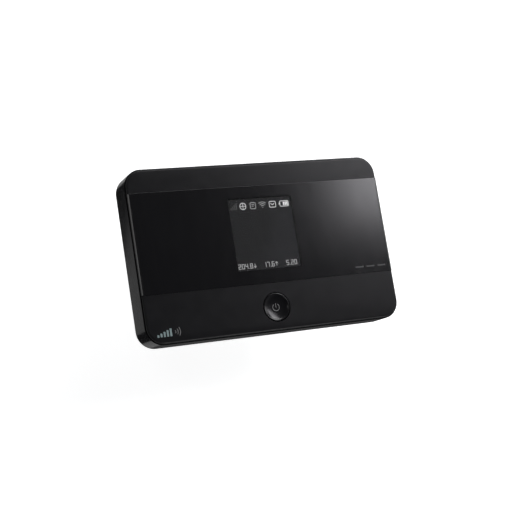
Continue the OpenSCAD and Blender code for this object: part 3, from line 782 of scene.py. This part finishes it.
def build_power_button():
    """Turned button with a stem, a flange under the cover, a rounded rim and a power symbol in its dish."""
    low, high = box_mm("power_button")
    middle = (low + high) / 2
    top = high.z
    stem, flange, chamfer = 1.5, 6.2, 0.1
    flange_top = top - 2.05
    flange_foot = flange_top - 1
    rim, rim_rounding = 5.45, 0.3
    dish_radius, dish_depth, dish_power, dish_steps = 5.0, 0.8, 3.6, 24

    def dish(radius):
        return top - dish_depth * (1 - (radius / dish_radius) ** dish_power)

    profile = [(0, low.z), (stem - chamfer, low.z), (stem, low.z + chamfer), (stem, flange_foot),
        (flange - chamfer, flange_foot), (flange, flange_foot + chamfer), (flange, flange_top - chamfer),
        (flange - chamfer, flange_top), (rim, flange_top)]
    profile += arc((rim - rim_rounding, top - rim_rounding), rim_rounding, 0, 90, 8)
    profile.append((dish_radius + 0.05, top))
    radii = [dish_radius * step / dish_steps for step in range(dish_steps, 0, -1)]
    profile += [(radius, dish(radius)) for radius in radii]
    profile.append((0, dish(0)))
    bm = bmesh.new()
    add_turned(bm, profile, middle)
    mesh = mesh_from("power_button_cap", bm)
    button = add_piece("power_button_cap", mesh, "power_button", "button_plastic")
    button.data.shade_smooth()
    button.data.set_sharp_from_angle(angle=math.radians(40))
    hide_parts("power_button")
    build_power_symbol(middle, dish)


def build_power_symbol(middle, dish):
    """Open ring with a bar in its gap, printed in the dish. dish gives the button's height at a radius."""
    line, ink_rise = 0.25, 0.012
    ring_radius, gap_start, gap_end = 1.35, 55, 125
    bar_foot, bar_top = middle.y - 0.25, middle.y + 1.45

    def surface(x, y):
        return dish(math.hypot(x - middle.x, y - middle.y))

    bm = bmesh.new()
    ring = arc((middle.x, middle.y), ring_radius, gap_end, gap_start + 360, 32)
    add_ribbon(bm, ring, line, surface, ink_rise)
    add_ribbon(bm, [(middle.x, bar_foot), (middle.x, bar_top)], line, surface, ink_rise)
    print_piece("power_symbol", bm, "power_button", "label_film", "ink_grey")


def add_turned(bm, profile, centre, steps=96):
    """Solid of revolution about the vertical through centre, from (radius, height) points."""
    angles = [2 * math.pi * step / steps for step in range(steps)]
    rings = []
    for radius, height in profile:
        if radius == 0:
            rings.append([bm.verts.new((centre.x, centre.y, height))])
            continue
        ring = []
        for angle in angles:
            x, y = centre.x + radius * math.cos(angle), centre.y + radius * math.sin(angle)
            ring.append(bm.verts.new((x, y, height)))
        rings.append(ring)
    for lower, upper in zip(rings, rings[1:]):
        for step in range(steps):
            corners = [lower[step % len(lower)], lower[(step + 1) % steps % len(lower)],
                upper[(step + 1) % steps % len(upper)], upper[step % len(upper)]]
            bm.faces.new(list(dict.fromkeys(corners)))


# ---------- battery, labels, cards and port ----------

def add_text_lines(bm, start, top, lengths, surface):
    """Plain lines in place of small text, from X start leftwards, for a face that is read from below."""
    line_step, line_width = 2.6, 0.7
    for line, length in enumerate(lengths):
        y = top - line * line_step
        add_ribbon(bm, [(start, y), (start - length, y)], line_width, surface)


def build_battery_label():
    """Print on the battery's label, which is read from below: a border, ratings in figures and lines for
    text."""
    low, high = box_mm("battery_label")
    face = flat(low.z)
    x, y = (low.x + high.x) / 2, (low.y + high.y) / 2
    start = x + 22
    border_width, border_height, border_corner, border_line = 52, 40, 1.5, 0.35
    figure_height, stroke = 6.5, 0.9
    border = rounded_box((x, y), border_width, border_height, border_corner)
    black = bmesh.new()
    add_ribbon(black, border, border_line, face, closed=True)
    for text, foot in (("3.7", y + 9), ("2550", y - 1)):
        add_numeral(black, text, start, foot, figure_height, stroke, face, mirrored=True)
    add_text_lines(black, start, y - 6, (30, 34, 27, 32), face)
    print_piece("battery_print", black, "battery", "label_film", "ink_black")


def build_polarity_marks():
    """Plus and minus on the battery's underside, beside its terminals."""
    low, high = box_mm("battery")
    terminals_low, terminals_high = box_mm("battery_terminals")
    surface = flat(low.z)
    x, middle_y = high.x - 3.1, (terminals_low.y + terminals_high.y) / 2
    half_apart, arm, line = 2.5, 1.2, 0.5
    white = bmesh.new()
    for y, is_plus in ((middle_y + half_apart, True), (middle_y - half_apart, False)):
        add_ribbon(white, [(x + arm, y), (x - arm, y)], line, surface)
        if is_plus:
            add_ribbon(white, [(x, y - arm), (x, y + arm)], line, surface)
    print_piece("battery_polarity", white, "battery", "label_film", "ink_white")


def build_bay_label():
    """Label in the battery bay, read from below: a strip of bars, figures and lines for text."""
    low, high = box_mm("bay_label")
    face = flat(low.z)
    start = high.x - 4
    bars_foot, bars_top, bars_end = low.y + 3, low.y + 9, low.x + 5
    figures_foot, figure_height, stroke = low.y + 11, 3, 0.4
    bm = bmesh.new()
    draw = random.Random(7)
    x = start
    while x > bars_end:
        width = draw.choice((0.3, 0.3, 0.6, 0.9))
        add_ribbon(bm, [(x, bars_foot), (x, bars_top)], width, face)
        x -= width + draw.choice((0.4, 0.4, 0.8))
    add_numeral(bm, "0123456789", start, figures_foot, figure_height, stroke, face, mirrored=True)
    add_text_lines(bm, start, high.y - 3, (32, 26, 30), face)
    print_piece("bay_print", bm, "housing", "label_film", "ink_black")


def build_sim_marks():
    """Gold pads on top of the SIM card, under the reader's contacts, and an arrow on its underside."""
    low, high = box_mm("sim_card")
    x, base = (low.x + high.x) / 2, low.y
    pad_reach, first_row, row_step, pad_rise = 2.9, base + 3.2, 2.2, 0.015
    pad_width, pad_height, pad_corner = 3.4, 1.8, 0.4
    pads = bmesh.new()
    for row in range(4):
        for side in (-1, 1):
            centre = (x + side * pad_reach, first_row + row * row_step)
            add_prism(pads, rounded_box(centre, pad_width, pad_height, pad_corner), high.z, high.z + pad_rise)
    print_piece("sim_pads", pads, "sim_card", "contact_gold")

    line, surface = 0.5, flat(low.z)
    tail, tip, head_y, head_width = base + 11, base + 4.5, base + 6.3, 1.6
    arrow = bmesh.new()
    add_ribbon(arrow, [(x, tail), (x, tip)], line, surface)
    add_ribbon(arrow, [(x - head_width, head_y), (x, tip), (x + head_width, head_y)], line, surface)
    print_piece("sim_arrow", arrow, "sim_card", "label_film", "ink_black")


def build_sd_marks():
    """Gold fingers on the memory card's thinner part, under the reader's contacts, and a framed figure on its
    underside."""
    low, high = box_mm("sd_card")
    x, base = (low.x + high.x) / 2, low.y
    count, apart, fingers_y = 8, 1.1, base + 2.3
    finger_width, finger_length, finger_corner = 0.8, 2.8, 0.15
    fingers_foot, fingers_top = high.z - 0.3, high.z - 0.285
    fingers = bmesh.new()
    for finger in range(count):
        centre = (x + (finger - (count - 1) / 2) * apart, fingers_y)
        outline = rounded_box(centre, finger_width, finger_length, finger_corner)
        add_prism(fingers, outline, fingers_foot, fingers_top)
    print_piece("sd_fingers", fingers, "sd_card", "contact_gold")

    surface = flat(low.z)
    border_width, border_height, border_corner, border_line = 8.6, 7.4, 0.8, 0.25
    border = rounded_box((x, base + 6.3), border_width, border_height, border_corner)
    figure = bmesh.new()
    add_numeral(figure, "16", x + 3.4, base + 4.6, 3.4, 0.55, surface, mirrored=True)
    add_ribbon(figure, border, border_line, surface, closed=True)
    print_piece("sd_print", figure, "sd_card", "label_film", "ink_white")


def build_port_contacts():
    """Five gold strips on the underside of the port's tongue."""
    low, high = box_mm("usb_insulator")
    x = (low.x + high.x) / 2
    tongue, half_thick = low.z + 0.7, 0.02
    count, apart, strips_y = 5, 0.65, low.y + 1.6
    strip_width, strip_length, strip_corner = 0.36, 2.8, 0.1
    bm = bmesh.new()
    for strip in range(count):
        centre = (x + (strip - (count - 1) / 2) * apart, strips_y)
        outline = rounded_box(centre, strip_width, strip_length, strip_corner)
        add_prism(bm, outline, tongue - half_thick, tongue + half_thick)
    print_piece("port_contacts", bm, "housing", "contact_gold")


# ---------- the object ----------

# How wide the rounding of a node's edges is. Thin foils and terminals take only a little.
USUAL_EDGE = 0.06
EDGE_WIDTHS = {
    "mid_frame": 0.16, "rear_cover": 0.12, "front_cover": 0.2, "menu_button": 0.3, "usb_shell": 0.08,
    "battery": 0.4, "battery_terminals": 0.03, "main_antenna_foil": 0.03, "diversity_antenna_foil": 0.03,
    "wifi_antenna_foil": 0.03,
}
OWN_BUILDERS = ("front_panel", "display_lcd", "power_button")
build_panel()
build_screen()
build_marks()
build_power_button()
build_battery_label()
build_polarity_marks()
build_bay_label()
build_sim_marks()
build_sd_marks()
build_port_contacts()
for part in NODES:
    if part not in OWN_BUILDERS:
        refine(part, EDGE_WIDTHS.get(part, USUAL_EDGE))

make_camera()
make_world()
make_floor()
make_lights()
bpy.context.scene.view_settings.view_transform = "Standard"
